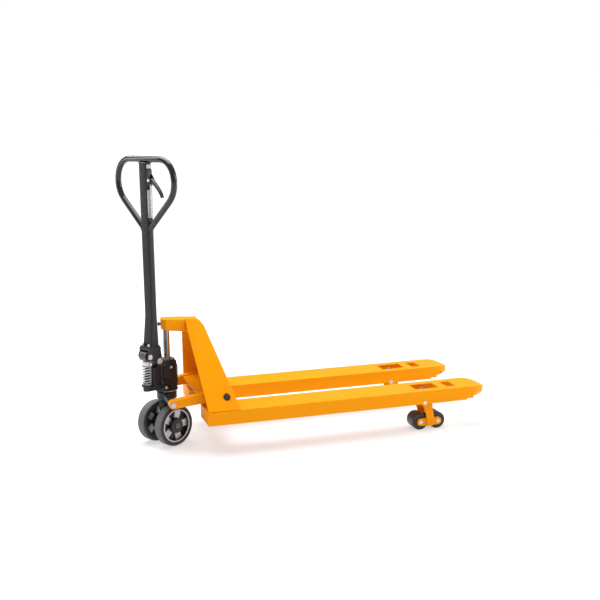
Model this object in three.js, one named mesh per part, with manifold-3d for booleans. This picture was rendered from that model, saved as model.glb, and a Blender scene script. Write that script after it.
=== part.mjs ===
// Hand pallet truck: two-fork load frame, hydraulic pump with steering wheels and a pump handle.
// Millimetres, +Z up. While it is drawn, x = 0 is the load face and the forks run along +X;
// the finished group is moved so that its origin is the middle of its footprint on the floor.
import * as THREE from "three";
import { mergeVertices } from "three/addons/utils/BufferGeometryUtils.js";
import Module from "manifold-3d";

const wasm = await Module();
wasm.setup();

// ---- driving dimensions ----
const GAP = 0.3; // left between pieces that touch
const FORK_LENGTH = 1150;
const FORK_WIDTH = 160;
const FORK_SPREAD = 550; // over both forks
const FORK_Y = (FORK_SPREAD - FORK_WIDTH) / 2;
const FORK_TOP = 190; // raised height of the carrying surface
const FORK_DEPTH = 59;
const FORK_WALL = 4;
const HEEL_X = -138; // rear end of the fork channels
const HEEL_STEP = 0.6; // the tops are a little lower where the tower stands on them

const STEER_X = -255; // steering and ram axis
const STEER_ANGLE = 30; // degrees, as the truck is parked
const RAM_RADIUS = 14;
const WHEEL_RADIUS = 90;
const WHEEL_WIDTH = 50;
const WHEEL_Y = 57;
const WHEEL_TRAIL = -24; // wheel axle behind the steering axis

const AXLE = { x: -50.5, z: FORK_TOP + 51, r: 13 }; // rocker axle
const ARM_PIN = { x: -268, z: FORK_TOP + 23, r: 9 };
const ARM_INNER = 155;
const ARM_OUTER = 190;
const EAR_RADIUS = 88.8; // rocker axle to push-rod pin
const EAR_SWING = 14.65; // half of the rocker's turn, degrees
const EAR_PIN_R = 8;

const FORK_PIN = { x: 838, z: FORK_TOP - 54, r: 8 };
const BOGIE = { x: 876, z: 37 };
const ROLLER_RADIUS = 37;
const ROLLER_WIDTH = 70;
const ROLLER_PITCH = 82;
const ROLLER_PIN_R = 7;
const ROD_PIN = { x: FORK_PIN.x + 22.5, z: FORK_PIN.z + 29.3, r: 7 };
const ENTRY_ROLLER = { x: 1096, z: FORK_TOP - 31, r: 11 };

const LEAN = 0.661; // sideways lean of the tower's side plates, per mm of height
const RAKE = 0.316; // backward rake of the load face, per mm of height
const PLATE = 9.6; // side plate, measured across the truck
const HEAD_TOP = FORK_TOP + 354;

const PIVOT = { x: -66, z: FORK_TOP + 186, r: 7 }; // handle pivot, in the steered frame
const PRESS = { x: -117, z: FORK_TOP + 211.5, r: 20 }; // pressing roller
const PLUNGER_X = -113;
const PLUNGER_SEAT_Z = FORK_TOP + 88;
const PLUNGER_TOP_Z = FORK_TOP + 191;
const SPRING_TOP_Z = FORK_TOP + 171;
const SPRING_COILS = 8;
const TUBE_X = -78; // handle tube
const TUBE_DEPTH = 30;
const TUBE_BREADTH = 48;
const TUBE_BASE_Z = FORK_TOP + 252;
const TUBE_TOP_Z = FORK_TOP + 1023.5;
const LOOP_TUBE_R = 13;
const LOOP_TOP_Z = FORK_TOP + 1037.5;
const LOOP_HALF = 181;
const LOOP_FOOT_Z = FORK_TOP + 768;
const LEVER_PIVOT = { y: -37, z: FORK_TOP + 952, r: 4 };

// ---- paints and metals ----
const paint = (color, roughness, metalness) => ({ color, roughness, metalness });
const ORANGE = paint(0xf59a00, 0.38, 0.0);
const GRAPHITE = paint(0x37383a, 0.45, 0.2);
const BLACK = paint(0x161617, 0.55, 0.0);
const CHROME = paint(0xd8dadc, 0.12, 1.0);
const ZINC = paint(0xb4b6b8, 0.35, 1.0);
const STEEL = paint(0x8b8d90, 0.4, 1.0);
const TREAD = paint(0x2b2b2d, 0.6, 0.0);
const ALLOY = paint(0xb9bbbe, 0.4, 0.9);

// ---- solids ----
const rad = (degrees) => (degrees * Math.PI) / 180;
const moved = (geometry, x, y, z) => geometry.translate(x, y, z);

function solid(geometry) {
  const bare = geometry.clone();
  bare.deleteAttribute("normal");
  bare.deleteAttribute("uv");
  const merged = mergeVertices(bare, 1e-3);
  return new wasm.Manifold(
    new wasm.Mesh({
      numProp: 3,
      vertProperties: new Float32Array(merged.attributes.position.array),
      triVerts: new Uint32Array(merged.index.array),
    }),
  );
}

function surface(body) {
  const { vertProperties, triVerts } = body.getMesh();
  const geometry = new THREE.BufferGeometry();
  geometry.setAttribute("position", new THREE.BufferAttribute(vertProperties, 3));
  geometry.setIndex(new THREE.BufferAttribute(triVerts, 1));
  return geometry;
}

const joined = (...parts) => surface(parts.map(solid).reduce((a, b) => a.add(b)));
const cut = (body, ...tools) =>
  surface(tools.map(solid).reduce((a, b) => a.subtract(b), solid(body)));
const common = (a, b) => surface(solid(a).intersect(solid(b)));

const box = (x0, x1, y0, y1, z0, z1) =>
  moved(
    new THREE.BoxGeometry(x1 - x0, y1 - y0, z1 - z0),
    (x0 + x1) / 2, (y0 + y1) / 2, (z0 + z1) / 2,
  );

// Round bars along each axis, from one end to the other.
const barY = (r, x, z, y0, y1, sides = 20) =>
  moved(new THREE.CylinderGeometry(r, r, y1 - y0, sides), x, (y0 + y1) / 2, z);
const barZ = (r, x, y, z0, z1, sides = 20) =>
  moved(new THREE.CylinderGeometry(r, r, z1 - z0, sides).rotateX(Math.PI / 2), x, y, (z0 + z1) / 2);
const barX = (r, y, z, x0, x1, sides = 20) =>
  moved(new THREE.CylinderGeometry(r, r, x1 - x0, sides).rotateZ(Math.PI / 2), (x0 + x1) / 2, y, z);

const outline = (points) => new THREE.Shape(points.map(([a, b]) => new THREE.Vector2(a, b)));

// A side-on outline (x, z) given thickness from y0 to y1.
const sidePlate = (shape, y0, y1, segments = 6) =>
  new THREE.ExtrudeGeometry(shape, { depth: y1 - y0, bevelEnabled: false, curveSegments: segments })
    .rotateX(Math.PI / 2)
    .translate(0, y1, 0);
// A plan outline (x, y) given thickness from z0 to z1.
const slab = (shape, z0, z1, segments = 6) =>
  new THREE.ExtrudeGeometry(shape, { depth: z1 - z0, bevelEnabled: false, curveSegments: segments })
    .translate(0, 0, z0);
// A cross outline (y, z) given thickness from x0 to x1.
const crossPlate = (shape, x0, x1) =>
  new THREE.ExtrudeGeometry(shape, { depth: x1 - x0, bevelEnabled: false })
    .applyMatrix4(new THREE.Matrix4().set(0, 0, 1, x0, 1, 0, 0, 0, 0, 1, 0, 0, 0, 0, 0, 1));

// The outline round two circles and the tangents between them.
function link(ax, ay, ar, bx, by, br) {
  const along = Math.atan2(by - ay, bx - ax);
  const spread = Math.acos((ar - br) / Math.hypot(bx - ax, by - ay));
  const shape = new THREE.Shape();
  shape.absarc(ax, ay, ar, along + spread, along + 2 * Math.PI - spread, false);
  shape.absarc(bx, by, br, along - spread, along + spread, false);
  shape.closePath();
  return shape;
}

function rounded(x0, x1, y0, y1, r) {
  const shape = new THREE.Shape();
  shape.absarc(x1 - r, y0 + r, r, -Math.PI / 2, 0, false);
  shape.absarc(x1 - r, y1 - r, r, 0, Math.PI / 2, false);
  shape.absarc(x0 + r, y1 - r, r, Math.PI / 2, Math.PI, false);
  shape.absarc(x0 + r, y0 + r, r, Math.PI, 1.5 * Math.PI, false);
  shape.closePath();
  return shape;
}

// Slides each point along y or x in proportion to its height above the fork tops.
const leaning = (geometry, perX, perY) =>
  geometry.applyMatrix4(
    new THREE.Matrix4().set(
      1, 0, perX, -perX * FORK_TOP,
      0, 1, perY, -perY * FORK_TOP,
      0, 0, 1, 0, 0, 0, 0, 1,
    ),
  );

// A turned piece about the y axis; the profile is [radius, y] pairs.
const turnedY = (profile, sides) =>
  new THREE.LatheGeometry(profile.map(([r, y]) => new THREE.Vector2(r, y)), sides);
const turnedZ = (profile, sides) => turnedY(profile, sides).rotateX(Math.PI / 2);

const truck = new THREE.Group();
function add(group, name, finish, geometry, x = 0, y = 0, z = 0) {
  const mesh = new THREE.Mesh(geometry, new THREE.MeshStandardMaterial(finish));
  mesh.name = name;
  mesh.position.set(x, y, z);
  group.add(mesh);
  return mesh;
}
const SIDES = [["left", 1], ["right", -1]];

// ---- forks ----
function forkPlan(inset, start) {
  const half = FORK_WIDTH / 2;
  const shape = new THREE.Shape();
  shape.moveTo(start, -half + inset);
  shape.lineTo(FORK_LENGTH - half, -half + inset);
  shape.absarc(FORK_LENGTH - half, 0, half - inset, -Math.PI / 2, Math.PI / 2, false);
  shape.lineTo(start, half - inset);
  shape.closePath();
  return shape;
}

function forkSide() {
  const shape = new THREE.Shape();
  shape.moveTo(HEEL_X, FORK_TOP - FORK_DEPTH);
  for (const [x, drop] of [[1040, 59], [1046, 53], [1075, 53], [1075, 44], [FORK_LENGTH, 28]])
    shape.lineTo(x, FORK_TOP - drop);
  shape.lineTo(FORK_LENGTH, FORK_TOP - 14);
  shape.quadraticCurveTo(1122, FORK_TOP, 1085, FORK_TOP);
  shape.lineTo(4, FORK_TOP);
  shape.lineTo(3.5, FORK_TOP - HEEL_STEP);
  shape.lineTo(HEEL_X, FORK_TOP - HEEL_STEP);
  shape.closePath();
  return shape;
}

function forkHollow() {
  const shape = new THREE.Shape();
  const top = FORK_TOP - FORK_WALL;
  shape.moveTo(HEEL_X + 6, FORK_TOP - 90);
  shape.lineTo(1138, FORK_TOP - 90);
  shape.lineTo(1138, top - 12);
  shape.quadraticCurveTo(1116, top, 1085, top);
  shape.lineTo(HEEL_X + 6, top);
  shape.closePath();
  return shape;
}

function fork() {
  const half = FORK_WIDTH / 2;
  const inside = half - FORK_WALL;
  const outer = common(
    slab(forkPlan(0, HEEL_X - 1), FORK_TOP - 70, FORK_TOP + 1, 14),
    sidePlate(forkSide(), -half - 1, half + 1),
  );
  const hollow = common(
    slab(forkPlan(FORK_WALL, HEEL_X), FORK_TOP - 95, FORK_TOP, 14),
    sidePlate(forkHollow(), -half, half),
  );
  const near = inside - 3;
  const far = half - 0.4;
  const boss = (y0, y1) => barY(15, FORK_PIN.x, FORK_PIN.z, y0, y1);
  const bosses = [boss(near, far), boss(-far, -near)];
  const top = [FORK_TOP - 10, FORK_TOP + 5];
  return cut(
    joined(cut(outer, hollow), ...bosses),
    box(810, 922, -41, 41, ...top),
    box(960.5, 1005, -41, 41, ...top),
    box(-96, -3, -17, 17, ...top),
    barY(FORK_PIN.r + GAP, FORK_PIN.x, FORK_PIN.z, -half - 1, half + 1),
    barY(4 + GAP, ENTRY_ROLLER.x, ENTRY_ROLLER.z, -half - 1, half + 1, 16),
  );
}

// ---- tower ----
function towerSide(s) {
  const z = (height) => FORK_TOP + height;
  const shape = outline([
    [-136, z(GAP)], [2, z(GAP)], [-100, z(326)], [-116, z(348)], [-176, z(348)], [-174, z(312)],
  ]);
  const edge = FORK_SPREAD / 2;
  const flat = s > 0 ? sidePlate(shape, edge - PLATE, edge) : sidePlate(shape, -edge, -edge + PLATE);
  const clearance = AXLE.r + GAP;
  return cut(leaning(flat, 0, -s * LEAN), barY(clearance, AXLE.x, AXLE.z, -300, 300));
}

function loadPlate() {
  const halfAt = (height) => FORK_SPREAD / 2 - LEAN * height - PLATE - 2 * GAP;
  const lowHalf = FORK_Y - FORK_WIDTH / 2 - GAP;
  const upper = crossPlate(
    outline([
      [-halfAt(1), FORK_TOP + GAP], [halfAt(1), FORK_TOP + GAP],
      [halfAt(300), FORK_TOP + 300], [-halfAt(300), FORK_TOP + 300],
    ]),
    -9, -1,
  );
  const lower = box(-9, -1, -lowHalf, lowHalf, FORK_TOP - 52, FORK_TOP + 4);
  return joined(leaning(upper, -RAKE, 0), lower);
}

function head() {
  const nose = new THREE.Shape();
  nose.moveTo(-168, -34.5);
  nose.lineTo(-168, 34.5);
  nose.lineTo(-176.5, 34.5);
  nose.lineTo(-179, 38);
  nose.lineTo(-258, 38);
  nose.quadraticCurveTo(-277, 34, -277, 0);
  nose.quadraticCurveTo(-277, -34, -258, -38);
  nose.lineTo(-179, -38);
  nose.lineTo(-176.5, -34.5);
  nose.closePath();
  const low = FORK_TOP + 270;
  const high = HEAD_TOP + 20;
  const halfAt = (z) => FORK_SPREAD / 2 - LEAN * (z - FORK_TOP) - PLATE - 2 * GAP;
  const root = crossPlate(
    outline([[-halfAt(low), low], [halfAt(low), low], [halfAt(high), high], [-halfAt(high), high]]),
    -174, -108,
  );
  const side = outline([
    [-290, FORK_TOP + 317], [-240, FORK_TOP + 308], [-180, FORK_TOP + 301], [-107, FORK_TOP + 301],
    [-107, FORK_TOP + 330], [-119, FORK_TOP + 349], [-150, FORK_TOP + 352], [-268, FORK_TOP + 358],
    [-290, FORK_TOP + 352],
  ]);
  return cut(
    common(joined(slab(nose, low, high, 6), root), sidePlate(side, -130, 130)),
    barZ(RAM_RADIUS + GAP, STEER_X, 0, low, FORK_TOP + 342.5),
    barX(5 + GAP, 0, FORK_TOP + 335, -300, -262, 16),
  );
}

function buildChassis() {
  for (const [side, s] of SIDES) {
    add(truck, "fork_" + side, ORANGE, fork(), 0, s * FORK_Y);
    add(truck, "tower_plate_" + side, ORANGE, towerSide(s));
    const pin = barY(FORK_PIN.r, FORK_PIN.x, FORK_PIN.z, -FORK_WIDTH / 2, FORK_WIDTH / 2);
    add(truck, "fork_pin_" + side, ZINC, pin, 0, s * FORK_Y);
    const entry = joined(
      barY(ENTRY_ROLLER.r, 0, 0, -64, 64, 20),
      barY(4, 0, 0, -74, 74, 16),
    );
    add(truck, "entry_roller_" + side, BLACK, entry, ENTRY_ROLLER.x, s * FORK_Y, ENTRY_ROLLER.z);
  }
  add(truck, "load_plate", ORANGE, loadPlate());
  add(truck, "lift_head", ORANGE, head());
  add(truck, "rocker_axle", BLACK, barY(AXLE.r, AXLE.x, AXLE.z, -246, 246));
  const bolt = joined(barX(5, 0, 0, -12, 13, 16), barX(9, 0, 0, -13, -6, 6));
  add(truck, "head_bolt", BLACK, bolt, -276, 0, FORK_TOP + 335);
  add(truck, "thrust_ball", STEEL, new THREE.SphereGeometry(8, 14, 9), STEER_X, 0, FORK_TOP + 334.3);
}

// ---- rocker, bearing bracket and push rods ----
const earPinX = AXLE.x + EAR_RADIUS * Math.sin(rad(EAR_SWING));
const earPinZ = AXLE.z - EAR_RADIUS * Math.cos(rad(EAR_SWING));

function rocker() {
  const arm = link(ARM_PIN.x, ARM_PIN.z, 17, AXLE.x, AXLE.z, 23);
  const ear = link(AXLE.x, AXLE.z, 22, earPinX, earPinZ, 13);
  const web = outline([
    [-158, ARM_PIN.z + 22], [-70, ARM_PIN.z + 36], [-70, ARM_PIN.z + 45], [-158, ARM_PIN.z + 31],
  ]);
  const parts = [barY(21, AXLE.x, AXLE.z, -212, 212), sidePlate(web, -ARM_INNER - 2, ARM_INNER + 2)];
  for (const s of [1, -1]) {
    const across = (shape, a, b) =>
      sidePlate(shape, Math.min(s * a, s * b), Math.max(s * a, s * b), 7);
    parts.push(across(arm, ARM_INNER, ARM_OUTER));
    parts.push(across(ear, FORK_Y - 15, FORK_Y - 8));
    parts.push(across(ear, FORK_Y + 8, FORK_Y + 15));
    parts.push(barY(EAR_PIN_R, earPinX, earPinZ, s * FORK_Y - 9, s * FORK_Y + 9, 24));
  }
  return cut(
    joined(...parts),
    barY(AXLE.r + GAP, AXLE.x, AXLE.z, -300, 300),
    barY(ARM_PIN.r + GAP, ARM_PIN.x, ARM_PIN.z, -300, 300),
  );
}

function bearingBracket() {
  const hubX = ARM_PIN.x + 7;
  const low = ARM_PIN.z - 15;
  const high = ARM_PIN.z + 13.5;
  const beam = rounded(ARM_PIN.x - 15, ARM_PIN.x + 15, low, high, 7);
  return cut(
    joined(
      barZ(43, hubX, 0, low, high, 32),
      sidePlate(beam, -ARM_INNER + 1, ARM_INNER - 1, 4),
    ),
    barZ(29.5, hubX, 0, low - 1, high + 1, 28),
    barY(ARM_PIN.r + GAP, ARM_PIN.x, ARM_PIN.z, -ARM_INNER - 5, -99),
    barY(ARM_PIN.r + GAP, ARM_PIN.x, ARM_PIN.z, 99, ARM_INNER + 5),
  );
}

function pushRod() {
  const rearX = earPinX;
  const frontX = ROD_PIN.x;
  const frontZ = ROD_PIN.z + 3.8;
  const rod = outline([
    [rearX, earPinZ - 10], [frontX, frontZ - 8], [frontX, frontZ + 8], [rearX, earPinZ + 8],
  ]);
  return cut(
    joined(
      sidePlate(rod, -6, 6),
      barY(16.5, rearX, earPinZ, -7, 7),
      barY(15.5, frontX, frontZ, -7, 7),
    ),
    barY(EAR_PIN_R + 3.4, rearX, earPinZ, -9, 9),
    barY(ROD_PIN.r + 4.4, frontX, frontZ, -9, 9),
  );
}

function buildLinkage() {
  add(truck, "rocker_arm", ORANGE, rocker());
  add(truck, "bearing_bracket", GRAPHITE, bearingBracket());
  for (const [side, s] of SIDES) {
    const pin = joined(
      barY(ARM_PIN.r, 0, 0, -46, 46),
      barY(10.5, 0, 0, s > 0 ? 45 : -50, s > 0 ? 50 : -45, 6),
    );
    add(truck, "arm_pin_" + side, ZINC, pin, ARM_PIN.x, s * (ARM_OUTER - 44.5), ARM_PIN.z);
    add(truck, "push_rod_" + side, STEEL, pushRod(), 0, s * FORK_Y);
  }
}

// ---- wheel frames, bogies and load rollers ----
function wheelFrame() {
  const at = ([x, z]) => [FORK_PIN.x + x, FORK_PIN.z + z];
  const cheek = outline(
    [[-10, -4], [6, -22], [20, -67], [25, -116], [51, -116], [55, -74], [46, -8], [30, 9], [0, 13]]
      .map(at),
  );
  const ear = link(FORK_PIN.x, FORK_PIN.z, 13, ROD_PIN.x, ROD_PIN.z, 10.5);
  const web = outline([[2, -8], [9, -25], [15, -22], [9, -5]].map(at));
  const parts = [barY(13, FORK_PIN.x, FORK_PIN.z, -46, 46), sidePlate(web, -46, 46)];
  for (const s of [1, -1]) {
    const across = (shape, a, b) =>
      sidePlate(shape, Math.min(s * a, s * b), Math.max(s * a, s * b), 6);
    parts.push(across(cheek, 45.2, 52));
    parts.push(barY(15, FORK_PIN.x, FORK_PIN.z, s > 0 ? 45.2 : -54, s > 0 ? 54 : -45.2));
    parts.push(across(ear, 7.5, 14));
  }
  parts.push(barY(ROD_PIN.r, ROD_PIN.x, ROD_PIN.z, -9, 9, 24));
  return cut(
    joined(...parts),
    barY(FORK_PIN.r + GAP, FORK_PIN.x, FORK_PIN.z, -60, 60),
    barY(10 + GAP, BOGIE.x, BOGIE.z, -60, 60),
  );
}

function bogiePlate(s) {
  const half = ROLLER_PITCH / 2;
  const bar = link(-half, 0, 17, half, 0, 17);
  const plate = sidePlate(bar, s > 0 ? 37 : -44, s > 0 ? 44 : -37, 7);
  return cut(
    joined(plate, barY(10, 0, 0, s > 0 ? 43 : -52, s > 0 ? 52 : -43)),
    barY(ROLLER_PIN_R + GAP, -half, 0, -60, 60, 24),
    barY(ROLLER_PIN_R + GAP, half, 0, -60, 60, 24),
  );
}

function roller(radius, width, bore) {
  const half = width / 2;
  return turnedY(
    [
      [bore, -half], [radius - 2, -half], [radius, -half + 2], [radius, half - 2],
      [radius - 2, half], [bore, half], [bore, -half],
    ],
    28,
  );
}

function buildRunningGear() {
  for (const [side, s] of SIDES) {
    const y = s * FORK_Y;
    add(truck, "wheel_frame_" + side, ORANGE, wheelFrame(), 0, y);
    add(truck, "bogie_plate_" + side + "_outer", ORANGE, bogiePlate(s), BOGIE.x, y, BOGIE.z);
    add(truck, "bogie_plate_" + side + "_inner", ORANGE, bogiePlate(-s), BOGIE.x, y, BOGIE.z);
    for (const [end, e] of [["front", 1], ["rear", -1]]) {
      const x = BOGIE.x + (e * ROLLER_PITCH) / 2;
      const pin = barY(ROLLER_PIN_R, 0, 0, -44.6, 44.6, 24);
      add(truck, "roller_pin_" + side + "_" + end, ZINC, pin, x, y, BOGIE.z);
      const body = roller(ROLLER_RADIUS, ROLLER_WIDTH, ROLLER_PIN_R + GAP);
      add(truck, "load_roller_" + side + "_" + end, TREAD, body, x, y, BOGIE.z);
    }
  }
}

// ---- pump and steering, in the steered frame ----
const steered = new THREE.Group();
steered.position.x = STEER_X;
steered.rotation.z = rad(STEER_ANGLE);
truck.add(steered);

function pumpBody() {
  const z = (height) => FORK_TOP + height;
  const oil = link(-24, 0, 36, 0, 0, 40);
  const shoulder = link(-24, 0, 28, 0, 0, 33);
  const lug = link(-40, z(140), 20, PIVOT.x, PIVOT.z, 11);
  return cut(
    joined(
      slab(oil, z(46), z(170), 12),
      slab(shoulder, z(169), z(180), 12),
      slab(link(-20, 0, 30, PLUNGER_X, 0, 18), z(60), z(80), 9),
      barZ(24, PLUNGER_X, 0, z(79), PLUNGER_SEAT_Z),
      sidePlate(lug, -21, 21, 6),
      slab(rounded(-92.5, -30, -20.5, 20.5, 6), z(62), z(157), 3),
      box(-50, -20, -37, 0, z(96), z(158)),
    ),
    barZ(RAM_RADIUS + GAP, 0, 0, z(48.5), z(200)),
    barZ(8 + GAP, PLUNGER_X, 0, z(64.5), z(100), 24),
    barY(PIVOT.r + GAP, PIVOT.x, PIVOT.z, -40, 40, 24),
    barY(6 + GAP, -16, z(66), -60, -24, 20),
    barZ(19, 0, 0, z(174), z(200)),
  );
}

function steeringFork() {
  const z = (height) => FORK_TOP + height;
  const axleZ = WHEEL_RADIUS;
  return cut(
    joined(
      barZ(20, 0, 0, z(-10), z(45.7)),
      slab(link(WHEEL_TRAIL, 0, 23, 0, 0, 23), z(-36), z(-4), 9),
      barZ(20, WHEEL_TRAIL, 0, axleZ, z(-20)),
      barY(21, WHEEL_TRAIL, axleZ, -29, 29),
    ),
    barY(10 + GAP, WHEEL_TRAIL, axleZ, -40, 40, 24),
  );
}

function tyre() {
  const half = WHEEL_WIDTH / 2;
  const profile = [[73, -half + 2], [80, -half]];
  for (const degrees of [-50, 0])
    profile.push([81 + 9 * Math.cos(rad(degrees)), -half + 10 + 9 * Math.sin(rad(degrees))]);
  for (const degrees of [0, 50])
    profile.push([81 + 9 * Math.cos(rad(degrees)), half - 10 + 9 * Math.sin(rad(degrees))]);
  profile.push([80, half], [73, half - 2], [73, -half + 2]);
  return turnedY(profile, 40);
}

function wheelHub(s) {
  const rim = turnedY([[66, -20], [72.6, -20], [72.6, 20], [66, 20], [66, -20]], 40);
  const parts = [rim, barY(21, 0, 0, -26, 26), barY(33, 0, 0, s > 0 ? 14 : -22, s > 0 ? 22 : -14, 28)];
  for (let spoke = 0; spoke < 5; spoke += 1) {
    const arm = sidePlate(outline([[-11, 15], [11, 15], [17, 68], [-17, 68]]), -9, 9);
    parts.push(arm.rotateY(rad(72 * spoke + 18)));
  }
  return cut(joined(...parts), barY(10 + GAP, 0, 0, -40, 40, 24));
}

function coilSpring() {
  const wire = 1.8;
  const radius = 15.4;
  const low = PLUNGER_SEAT_Z + wire + GAP;
  const high = SPRING_TOP_Z - wire - GAP;
  class Helix extends THREE.Curve {
    getPoint(t, target = new THREE.Vector3()) {
      const turn = 2 * Math.PI * SPRING_COILS * t;
      return target.set(radius * Math.cos(turn), radius * Math.sin(turn), low + (high - low) * t);
    }
  }
  const section = new THREE.Shape().absarc(0, 0, wire, 0, 2 * Math.PI, false);
  const steps = SPRING_COILS * 12;
  const path = { steps, extrudePath: new Helix(), curveSegments: 3, bevelEnabled: false };
  return new THREE.ExtrudeGeometry(section, path);
}

function plunger() {
  const z = (height) => FORK_TOP + height;
  const cap = turnedZ(
    [
      [0, -z(187)], [12, -z(187)], [12, -z(171)], [17, -z(171)], [17, -z(175)], [16, -z(178)],
      [16, -z(188)], [13, -PLUNGER_TOP_Z], [0, -PLUNGER_TOP_Z],
    ].map(([r, y]) => [r, -y]),
    28,
  );
  return joined(cap, barZ(8, 0, 0, z(120), z(189), 24));
}

function plungerCylinder() {
  const low = PLUNGER_SEAT_Z + GAP;
  const high = FORK_TOP + 129;
  return turnedZ(
    [[8 + GAP, low], [12.4, low], [12.4, low + 6], [11, low + 7], [11, high - 1], [10, high],
      [8 + GAP, high], [8 + GAP, low]],
    28,
  );
}

function buildPump() {
  const z = (height) => FORK_TOP + height;
  add(truck, "lift_ram", CHROME, barZ(RAM_RADIUS, STEER_X, 0, z(160), z(326), 36));
  add(steered, "pump_body", GRAPHITE, pumpBody());
  const nut = [[RAM_RADIUS + GAP, z(174.3)], [18.5, z(174.3)], [18.5, z(182)], [17, z(184)],
    [RAM_RADIUS + GAP, z(184)], [RAM_RADIUS + GAP, z(174.3)]];
  add(steered, "gland_nut", STEEL, turnedZ(nut, 28));
  add(steered, "plunger_cylinder", STEEL, plungerCylinder(), PLUNGER_X);
  add(steered, "plunger_spring", ZINC, coilSpring(), PLUNGER_X);
  add(steered, "plunger", ZINC, plunger(), PLUNGER_X);
  const bearing = [[21, z(40)], [38, z(40)], [38, z(45.6)], [21, z(45.6)], [21, z(40)]];
  add(steered, "thrust_bearing", STEEL, turnedZ(bearing, 32));
  add(steered, "steering_fork", GRAPHITE, steeringFork());
  const valve = joined(barY(6, 0, 0, -1, 12, 20), barY(9, 0, 0, -9, -1, 6));
  add(steered, "release_valve", ZINC, valve, -16, -39.6, z(66));
  add(steered, "wheel_axle", STEEL, barY(10, 0, 0, -85, 85), WHEEL_TRAIL, 0, WHEEL_RADIUS);
  for (const [side, s] of SIDES) {
    const y = s * WHEEL_Y;
    add(steered, "steer_tyre_" + side, TREAD, tyre(), WHEEL_TRAIL, y, WHEEL_RADIUS);
    add(steered, "steer_hub_" + side, ALLOY, wheelHub(s), WHEEL_TRAIL, y, WHEEL_RADIUS);
  }
}

// ---- valve linkage ----
function buildValveLinkage() {
  const z = (height) => FORK_TOP + height;
  const lever = joined(
    sidePlate(link(-16, z(66), 11, -52, z(98), 7), -47.5, -43.5, 10),
    barY(11, -16, z(66), -47.5, -43.5, 20),
  );
  const hub = cut(lever, barY(9.6, -16, z(66), -60, -40, 24));
  add(steered, "valve_lever", ZINC, hub);
}

// ---- handle ----
function handleBase() {
  const z = (height) => FORK_TOP + height;
  const shapes = [
    link(PIVOT.x, PIVOT.z, 14, PRESS.x, PRESS.z, 12),
    link(PIVOT.x, PIVOT.z, 14, -70, z(236), 11),
    link(PRESS.x, PRESS.z, 12, -108, z(236), 11),
    outline([[-117, z(205)], [-66, z(186)], [-62, z(246)], [-117, z(246)]]),
  ];
  const parts = [box(-121, -58, -33, 33, z(238), z(248))];
  for (const shape of shapes)
    for (const s of [1, -1]) parts.push(sidePlate(shape, s > 0 ? 23 : -33, s > 0 ? 33 : -23, 6));
  return cut(
    joined(...parts),
    barY(PIVOT.r + GAP, PIVOT.x, PIVOT.z, -40, 40, 24),
    barY(6 + GAP, PRESS.x, PRESS.z, -40, 40, 24),
  );
}

// Widens the foot of the handle tube towards its flange, mostly backwards.
function flare(geometry) {
  const place = geometry.attributes.position;
  for (let i = 0; i < place.count; i += 1) {
    if (place.getZ(i) > TUBE_BASE_Z + 1) continue;
    const x = place.getX(i);
    place.setX(i, x < TUBE_X ? x - 13 : x + 1);
    place.setY(i, place.getY(i) * 1.17);
  }
  return geometry;
}

function handleTube() {
  const half = TUBE_BREADTH / 2;
  const shape = rounded(TUBE_X - TUBE_DEPTH / 2, TUBE_X + TUBE_DEPTH / 2, -half, half, 6);
  const low = FORK_TOP + 248 + GAP;
  const outer = joined(
    slab(rounded(-120, -60, -32, 32, 6), low, TUBE_BASE_Z + 3, 4),
    flare(slab(shape, TUBE_BASE_Z, TUBE_BASE_Z + 130, 4)),
    slab(shape, TUBE_BASE_Z + 129, TUBE_TOP_Z, 4),
  );
  const wall = 3;
  const deep = TUBE_DEPTH / 2 - wall;
  return cut(
    outer,
    box(TUBE_X - deep, TUBE_X + deep, -half + wall, half - wall, low - 5, TUBE_TOP_Z - wall),
  );
}

class LoopPath extends THREE.CurvePath {
  constructor() {
    super();
    const at = (y, z) => new THREE.Vector3(TUBE_X, y, z);
    const kneeY = 146;
    const kneeZ = LOOP_FOOT_Z + 98;
    const waistZ = LOOP_FOOT_Z + 176;
    const half = 97;
    const bend = (s) => [
      at(s * LOOP_HALF, waistZ), at(s * LOOP_HALF, waistZ + 56),
      at(s * (half + 50), LOOP_TOP_Z), at(s * half, LOOP_TOP_Z),
    ];
    this.add(new THREE.LineCurve3(at(12, LOOP_FOOT_Z - 25), at(kneeY, kneeZ)));
    this.add(new THREE.QuadraticBezierCurve3(
      at(kneeY, kneeZ), at(LOOP_HALF, kneeZ + 33), at(LOOP_HALF, waistZ)));
    this.add(new THREE.CubicBezierCurve3(...bend(1)));
    this.add(new THREE.LineCurve3(at(half, LOOP_TOP_Z), at(-half, LOOP_TOP_Z)));
    this.add(new THREE.CubicBezierCurve3(...bend(-1).reverse()));
    this.add(new THREE.QuadraticBezierCurve3(
      at(-LOOP_HALF, waistZ), at(-LOOP_HALF, kneeZ + 33), at(-kneeY, kneeZ)));
    this.add(new THREE.LineCurve3(at(-kneeY, kneeZ), at(-12, LOOP_FOOT_Z - 25)));
  }
}

function handleLoop() {
  const section = new THREE.Shape().absarc(0, 0, LOOP_TUBE_R, 0, 2 * Math.PI, false);
  const path = { steps: 50, extrudePath: new LoopPath(), curveSegments: 7, bevelEnabled: false };
  const half = TUBE_BREADTH / 2 + GAP;
  return cut(
    new THREE.ExtrudeGeometry(section, path),
    box(TUBE_X - 40, TUBE_X + 40, -half, half, LOOP_FOOT_Z - 60, LOOP_FOOT_Z + 60),
  );
}

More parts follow.
